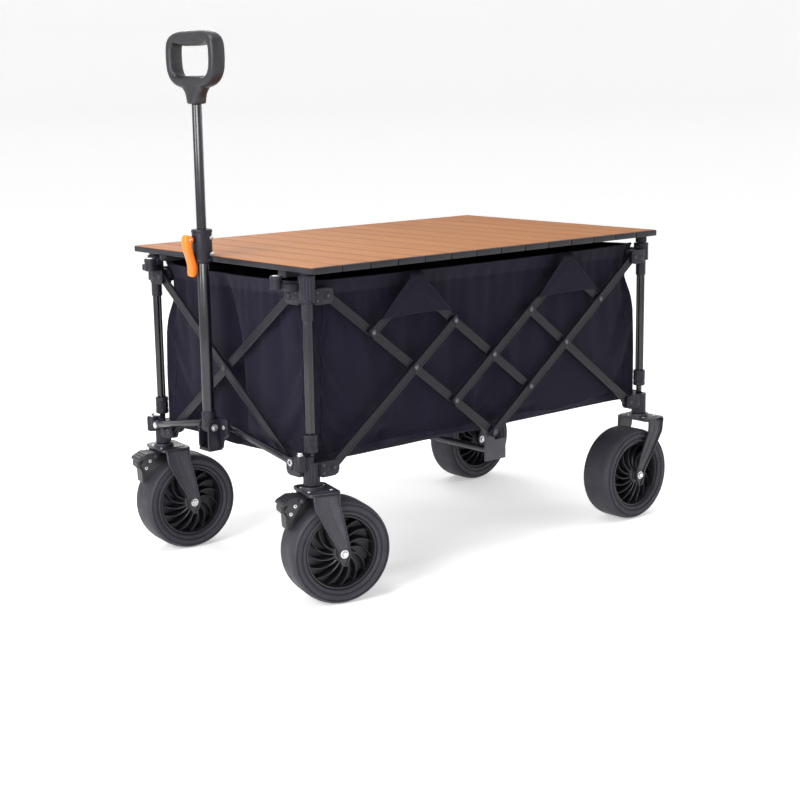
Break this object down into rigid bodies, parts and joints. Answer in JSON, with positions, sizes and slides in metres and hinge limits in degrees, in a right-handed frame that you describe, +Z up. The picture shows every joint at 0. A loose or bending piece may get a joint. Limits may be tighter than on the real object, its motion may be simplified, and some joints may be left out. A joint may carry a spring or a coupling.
{
  "type": "folding camp wagon",
  "caption": "Folding pull wagon with a lattice frame that gathers inward, swivel front wheels, a fabric cargo bag, a telescoping handle and a lift-off slatted table top.",
  "frame": {"origin": "on the floor, below the middle of the whole wagon", "axes": "+Z up; the front with the pull handle faces -X; +Y to the right side of the wagon"},
  "size_m": [1.072, 0.6203, 1.056],
  "materials": {
    "bar_paint": "satin black powder coat",
    "tube_paint": "glossy black paint",
    "bracket_plastic": "moulded black plastic",
    "fork_paint": "satin black paint",
    "rim_plastic": "moulded black plastic",
    "tyre_rubber": "matt black rubber",
    "pedal_plastic": "moulded black plastic",
    "grip_plastic": "soft dark grey plastic",
    "lever_plastic": "orange moulded plastic",
    "slat_print": "aluminium slats with a warm wood-grain print",
    "rail_paint": "black paint",
    "bag_fabric": "charcoal woven polyester"
  },
  "bodies": {
    "front_left_lower": {"bottom_bracket_front_left": "bracket_plastic"},
    "front_left_upper": {"post_tube_front_left": "tube_paint", "top_bracket_front_left": "bracket_plastic", "bag": "bag_fabric"},
    "wheel_front_left": {"wheel_rim_front_left": "rim_plastic", "tyre_front_left": "tyre_rubber"},
    "rear_left_lower": {"bottom_bracket_rear_left": "bracket_plastic", "caster_fork_rear_left": "fork_paint"},
    "rear_left_upper": {"post_tube_rear_left": "tube_paint", "top_bracket_rear_left": "bracket_plastic"},
    "wheel_rear_left": {"wheel_rim_rear_left": "rim_plastic", "tyre_rear_left": "tyre_rubber"},
    "caster_front_left": {"caster_fork_front_left": "fork_paint"},
    "pedal_left": {"brake_pedal_left": "pedal_plastic"},
    "lattice_left_1": {"side_bar_left_1": "bar_paint"},
    "lattice_left_2": {"side_bar_left_2": "bar_paint"},
    "lattice_left_3": {"side_bar_left_3": "bar_paint"},
    "lattice_left_4": {"side_bar_left_4": "bar_paint"},
    "lattice_left_5": {"side_bar_left_5": "bar_paint"},
    "lattice_left_6": {"side_bar_left_6": "bar_paint"},
    "lattice_left_7": {"side_bar_left_7": "bar_paint"},
    "lattice_left_8": {"side_bar_left_8": "bar_paint"},
    "hub_left": {"floor_hub_left": "bar_paint"},
    "link_left": {"floor_link_left": "tube_paint"},
    "arm_left": {"pull_arm_left": "tube_paint"},
    "front_right_lower": {"bottom_bracket_front_right": "bracket_plastic"},
    "front_right_upper": {"post_tube_front_right": "tube_paint", "top_bracket_front_right": "bracket_plastic"},
    "wheel_front_right": {"wheel_rim_front_right": "rim_plastic", "tyre_front_right": "tyre_rubber"},
    "rear_right_lower": {"bottom_bracket_rear_right": "bracket_plastic", "caster_fork_rear_right": "fork_paint"},
    "rear_right_upper": {"post_tube_rear_right": "tube_paint", "top_bracket_rear_right": "bracket_plastic"},
    "wheel_rear_right": {"wheel_rim_rear_right": "rim_plastic", "tyre_rear_right": "tyre_rubber"},
    "caster_front_right": {"caster_fork_front_right": "fork_paint"},
    "pedal_right": {"brake_pedal_right": "pedal_plastic"},
    "lattice_right_1": {"side_bar_right_1": "bar_paint"},
    "lattice_right_2": {"side_bar_right_2": "bar_paint"},
    "lattice_right_3": {"side_bar_right_3": "bar_paint"},
    "lattice_right_4": {"side_bar_right_4": "bar_paint"},
    "lattice_right_5": {"side_bar_right_5": "bar_paint"},
    "lattice_right_6": {"side_bar_right_6": "bar_paint"},
    "lattice_right_7": {"side_bar_right_7": "bar_paint"},
    "lattice_right_8": {"side_bar_right_8": "bar_paint"},
    "hub_right": {"floor_hub_right": "bar_paint"},
    "link_right": {"floor_link_right": "tube_paint"},
    "arm_right": {"pull_arm_right": "tube_paint"},
    "cross_front_1": {"front_bar_1": "bar_paint"},
    "cross_front_2": {"front_bar_2": "bar_paint"},
    "cross_rear_1": {"rear_bar_1": "bar_paint"},
    "cross_rear_2": {"rear_bar_2": "bar_paint"},
    "pull_block": {"handle_bracket": "bracket_plastic"},
    "handle_outer": {"handle_outer_tube": "tube_paint"},
    "handle_inner": {"handle_inner_tube": "tube_paint", "handle_grip": "grip_plastic"},
    "lever": {"clamp_lever": "lever_plastic"},
    "table": {"table_slats": "slat_print", "table_rails": "rail_paint"}
  },
  "joints": [
    {"name": "fold", "type": "hinge", "parent": "front_left_lower", "child": "lattice_left_1", "pos_m": [-0.4, -0.24586, 0.258], "axis": [0, -1, 0], "range_deg": [0, 37.5], "deforming": ["bag"]},
    {"name": "lattice_left_2_pivot", "type": "hinge", "parent": "lattice_left_1", "child": "lattice_left_2", "pos_m": [-0.19, -0.24586, 0.418], "axis": [0, -1, 0], "range_deg": [-75.01, 0]},
    {"name": "front_left_upper_pivot", "type": "hinge", "parent": "lattice_left_2", "child": "front_left_upper", "pos_m": [-0.4, -0.24586, 0.578], "axis": [0, -1, 0], "range_deg": [0, 37.51]},
    {"name": "lattice_left_3_pivot", "type": "hinge", "parent": "lattice_left_2", "child": "lattice_left_3", "pos_m": [-0.295, -0.24586, 0.498], "axis": [0, -1, 0], "range_deg": [0, 75.01]},
    {"name": "lattice_left_5_pivot", "type": "hinge", "parent": "lattice_left_2", "child": "lattice_left_5", "pos_m": [-0.085, -0.24586, 0.338], "axis": [0, -1, 0], "range_deg": [0, 75.01]},
    {"name": "lattice_left_6_pivot", "type": "hinge", "parent": "lattice_left_2", "child": "lattice_left_6", "pos_m": [0.02, -0.24586, 0.258], "axis": [0, -1, 0], "range_deg": [0, 75.01]},
    {"name": "hub_left_pivot", "type": "hinge", "parent": "lattice_left_2", "child": "hub_left", "pos_m": [0.02, -0.24586, 0.258], "axis": [0, -1, 0], "range_deg": [0, 37.51]},
    {"name": "lattice_left_4_pivot", "type": "hinge", "parent": "lattice_left_5", "child": "lattice_left_4", "pos_m": [0.02, -0.24586, 0.418], "axis": [0, -1, 0], "range_deg": [-75.01, 0]},
    {"name": "lattice_left_7_pivot", "type": "hinge", "parent": "lattice_left_6", "child": "lattice_left_7", "pos_m": [0.23, -0.24586, 0.418], "axis": [0, -1, 0], "range_deg": [-75.01, 0]},
    {"name": "lattice_left_8_pivot", "type": "hinge", "parent": "lattice_left_6", "child": "lattice_left_8", "pos_m": [0.335, -0.24586, 0.498], "axis": [0, -1, 0], "range_deg": [-75.01, 0]},
    {"name": "rear_left_upper_pivot", "type": "hinge", "parent": "lattice_left_6", "child": "rear_left_upper", "pos_m": [0.44, -0.24586, 0.578], "axis": [0, -1, 0], "range_deg": [-37.51, 0]},
    {"name": "rear_left_lower_pivot", "type": "hinge", "parent": "lattice_left_7", "child": "rear_left_lower", "pos_m": [0.44, -0.24586, 0.258], "axis": [0, -1, 0], "range_deg": [0, 37.51]},
    {"name": "cross_front_1_pivot", "type": "hinge", "parent": "front_left_lower", "child": "cross_front_1", "pos_m": [-0.448, -0.19786, 0.258], "axis": [1, 0, 0], "range_deg": [0, 37.51]},
    {"name": "cross_front_2_pivot", "type": "hinge", "parent": "cross_front_1", "child": "cross_front_2", "pos_m": [-0.448, 0.01214, 0.418], "axis": [1, 0, 0], "range_deg": [-75.01, 0]},
    {"name": "front_right_lower_pivot", "type": "hinge", "parent": "cross_front_2", "child": "front_right_lower", "pos_m": [-0.448, 0.22214, 0.258], "axis": [1, 0, 0], "range_deg": [0, 37.51]},
    {"name": "lattice_right_1_pivot", "type": "hinge", "parent": "front_right_lower", "child": "lattice_right_1", "pos_m": [-0.4, 0.27014, 0.258], "axis": [0, -1, 0], "range_deg": [0, 37.51]},
    {"name": "lattice_right_2_pivot", "type": "hinge", "parent": "lattice_right_1", "child": "lattice_right_2", "pos_m": [-0.19, 0.27014, 0.418], "axis": [0, -1, 0], "range_deg": [-75.01, 0]},
    {"name": "front_right_upper_pivot", "type": "hinge", "parent": "lattice_right_2", "child": "front_right_upper", "pos_m": [-0.4, 0.27014, 0.578], "axis": [0, -1, 0], "range_deg": [0, 37.51]},
    {"name": "lattice_right_3_pivot", "type": "hinge", "parent": "lattice_right_2", "child": "lattice_right_3", "pos_m": [-0.295, 0.27014, 0.498], "axis": [0, -1, 0], "range_deg": [0, 75.01]},
    {"name": "lattice_right_5_pivot", "type": "hinge", "parent": "lattice_right_2", "child": "lattice_right_5", "pos_m": [-0.085, 0.27014, 0.338], "axis": [0, -1, 0], "range_deg": [0, 75.01]},
    {"name": "lattice_right_6_pivot", "type": "hinge", "parent": "lattice_right_2", "child": "lattice_right_6", "pos_m": [0.02, 0.27014, 0.258], "axis": [0, -1, 0], "range_deg": [0, 75.01]},
    {"name": "hub_right_pivot", "type": "hinge", "parent": "lattice_right_2", "child": "hub_right", "pos_m": [0.02, 0.27014, 0.258], "axis": [0, -1, 0], "range_deg": [0, 37.51]},
    {"name": "lattice_right_4_pivot", "type": "hinge", "parent": "lattice_right_5", "child": "lattice_right_4", "pos_m": [0.02, 0.27014, 0.418], "axis": [0, -1, 0], "range_deg": [-75.01, 0]},
    {"name": "lattice_right_7_pivot", "type": "hinge", "parent": "lattice_right_6", "child": "lattice_right_7", "pos_m": [0.23, 0.27014, 0.418], "axis": [0, -1, 0], "range_deg": [-75.01, 0]},
    {"name": "lattice_right_8_pivot", "type": "hinge", "parent": "lattice_right_6", "child": "lattice_right_8", "pos_m": [0.335, 0.27014, 0.498], "axis": [0, -1, 0], "range_deg": [-75.01, 0]},
    {"name": "rear_right_upper_pivot", "type": "hinge", "parent": "lattice_right_6", "child": "rear_right_upper", "pos_m": [0.44, 0.27014, 0.578], "axis": [0, -1, 0], "range_deg": [-37.51, 0]},
    {"name": "rear_right_lower_pivot", "type": "hinge", "parent": "lattice_right_7", "child": "rear_right_lower", "pos_m": [0.44, 0.27014, 0.258], "axis": [0, -1, 0], "range_deg": [0, 37.51]},
    {"name": "cross_rear_1_pivot", "type": "hinge", "parent": "rear_left_lower", "child": "cross_rear_1", "pos_m": [0.488, -0.19786, 0.258], "axis": [1, 0, 0], "range_deg": [0, 37.51]},
    {"name": "cross_rear_2_pivot", "type": "hinge", "parent": "cross_rear_1", "child": "cross_rear_2", "pos_m": [0.488, 0.01214, 0.418], "axis": [1, 0, 0], "range_deg": [-75.01, 0]},
    {"name": "arm_left_pivot", "type": "hinge", "parent": "front_left_lower", "child": "arm_left", "pos_m": [-0.466, -0.21586, 0.272], "axis": [1, 0, 0], "range_deg": [0, 63.19]},
    {"name": "link_left_pivot", "type": "hinge", "parent": "hub_left", "child": "link_left", "pos_m": [0.05, -0.22386, 0.208], "axis": [1, 0, 0], "range_deg": [0, 66.22]},
    {"name": "arm_right_pivot", "type": "hinge", "parent": "front_right_lower", "child": "arm_right", "pos_m": [-0.466, 0.24014, 0.272], "axis": [-1, 0, 0], "range_deg": [0, 63.19]},
    {"name": "link_right_pivot", "type": "hinge", "parent": "hub_right", "child": "link_right", "pos_m": [0.05, 0.24814, 0.208], "axis": [-1, 0, 0], "range_deg": [0, 66.22]},
    {"name": "pull_block_pivot", "type": "hinge", "parent": "arm_left", "child": "pull_block", "pos_m": [-0.466, -0.01786, 0.308], "axis": [1, 0, 0], "range_deg": [-63.19, 0]},
    {"name": "handle_swing", "type": "hinge", "parent": "pull_block", "child": "handle_outer", "pos_m": [-0.4935, 0.01214, 0.308], "axis": [0, -1, 0], "range_deg": [0, 100]},
    {"name": "handle_slide", "type": "slide", "parent": "handle_outer", "child": "handle_inner", "axis": [0, 0, 1], "range_m": [-0.2, 0.1]},
    {"name": "lever_open", "type": "hinge", "parent": "handle_outer", "child": "lever", "pos_m": [-0.524, 0.01214, 0.672], "axis": [0, 1, 0], "range_deg": [0, 60]},
    {"name": "swivel_left", "type": "hinge", "parent": "front_left_lower", "child": "caster_front_left", "pos_m": [-0.44, -0.23786, 0.229], "axis": [0, 0, 1], "continuous": true},
    {"name": "wheel_front_left_spin", "type": "hinge", "parent": "caster_front_left", "child": "wheel_front_left", "pos_m": [-0.3977, -0.24999, 0.1], "axis": [0.2756, 0.9613, 0], "continuous": true},
    {"name": "pedal_left_press", "type": "hinge", "parent": "caster_front_left", "child": "pedal_left", "pos_m": [-0.46884, -0.22959, 0.206], "axis": [-0.2756, -0.9613, 0], "range_deg": [0, 6]},
    {"name": "wheel_rear_left_spin", "type": "hinge", "parent": "rear_left_lower", "child": "wheel_rear_left", "pos_m": [0.436, -0.23786, 0.1], "axis": [0, 1, 0], "continuous": true},
    {"name": "swivel_right", "type": "hinge", "parent": "front_right_lower", "child": "caster_front_right", "pos_m": [-0.44, 0.26214, 0.229], "axis": [0, 0, 1], "continuous": true},
    {"name": "wheel_front_right_spin", "type": "hinge", "parent": "caster_front_right", "child": "wheel_front_right", "pos_m": [-0.3964, 0.25624, 0.1], "axis": [0.134, 0.991, 0], "continuous": true},
    {"name": "pedal_right_press", "type": "hinge", "parent": "caster_front_right", "child": "pedal_right", "pos_m": [-0.46973, 0.26616, 0.206], "axis": [-0.134, -0.991, 0], "range_deg": [0, 6]},
    {"name": "wheel_rear_right_spin", "type": "hinge", "parent": "rear_right_lower", "child": "wheel_rear_right", "pos_m": [0.436, 0.26214, 0.1], "axis": [0, 1, 0], "continuous": true},
    {"name": "table_lift", "type": "slide", "parent": "front_left_upper", "child": "table", "axis": [0, 0, 1], "range_m": [0, 0.3]}
  ],
  "couplings": [
    {"joint": "lattice_left_2_pivot", "follows": "fold", "ratio": -2},
    {"joint": "front_left_upper_pivot", "follows": "fold", "ratio": 1},
    {"joint": "lattice_left_3_pivot", "follows": "fold", "ratio": 2},
    {"joint": "lattice_left_5_pivot", "follows": "fold", "ratio": 2},
    {"joint": "lattice_left_6_pivot", "follows": "fold", "ratio": 2},
    {"joint": "hub_left_pivot", "follows": "fold", "ratio": 1},
    {"joint": "lattice_left_4_pivot", "follows": "fold", "ratio": -2},
    {"joint": "lattice_left_7_pivot", "follows": "fold", "ratio": -2},
    {"joint": "lattice_left_8_pivot", "follows": "fold", "ratio": -2},
    {"joint": "rear_left_upper_pivot", "follows": "fold", "ratio": -1},
    {"joint": "rear_left_lower_pivot", "follows": "fold", "ratio": 1},
    {"joint": "cross_front_1_pivot", "follows": "fold", "ratio": 1},
    {"joint": "cross_front_2_pivot", "follows": "fold", "ratio": -2},
    {"joint": "front_right_lower_pivot", "follows": "fold", "ratio": 1},
    {"joint": "lattice_right_1_pivot", "follows": "fold", "ratio": 1},
    {"joint": "lattice_right_2_pivot", "follows": "fold", "ratio": -2},
    {"joint": "front_right_upper_pivot", "follows": "fold", "ratio": 1},
    {"joint": "lattice_right_3_pivot", "follows": "fold", "ratio": 2},
    {"joint": "lattice_right_5_pivot", "follows": "fold", "ratio": 2},
    {"joint": "lattice_right_6_pivot", "follows": "fold", "ratio": 2},
    {"joint": "hub_right_pivot", "follows": "fold", "ratio": 1},
    {"joint": "lattice_right_4_pivot", "follows": "fold", "ratio": -2},
    {"joint": "lattice_right_7_pivot", "follows": "fold", "ratio": -2},
    {"joint": "lattice_right_8_pivot", "follows": "fold", "ratio": -2},
    {"joint": "rear_right_upper_pivot", "follows": "fold", "ratio": -1},
    {"joint": "rear_right_lower_pivot", "follows": "fold", "ratio": 1},
    {"joint": "cross_rear_1_pivot", "follows": "fold", "ratio": 1},
    {"joint": "cross_rear_2_pivot", "follows": "fold", "ratio": -2},
    {"joint": "arm_left_pivot", "follows": "fold", "ratio": 1.6848},
    {"joint": "link_left_pivot", "follows": "fold", "ratio": 1.7656},
    {"joint": "arm_right_pivot", "follows": "fold", "ratio": 1.6848},
    {"joint": "link_right_pivot", "follows": "fold", "ratio": 1.7656},
    {"joint": "pull_block_pivot", "follows": "fold", "ratio": -1.6848}
  ]
}
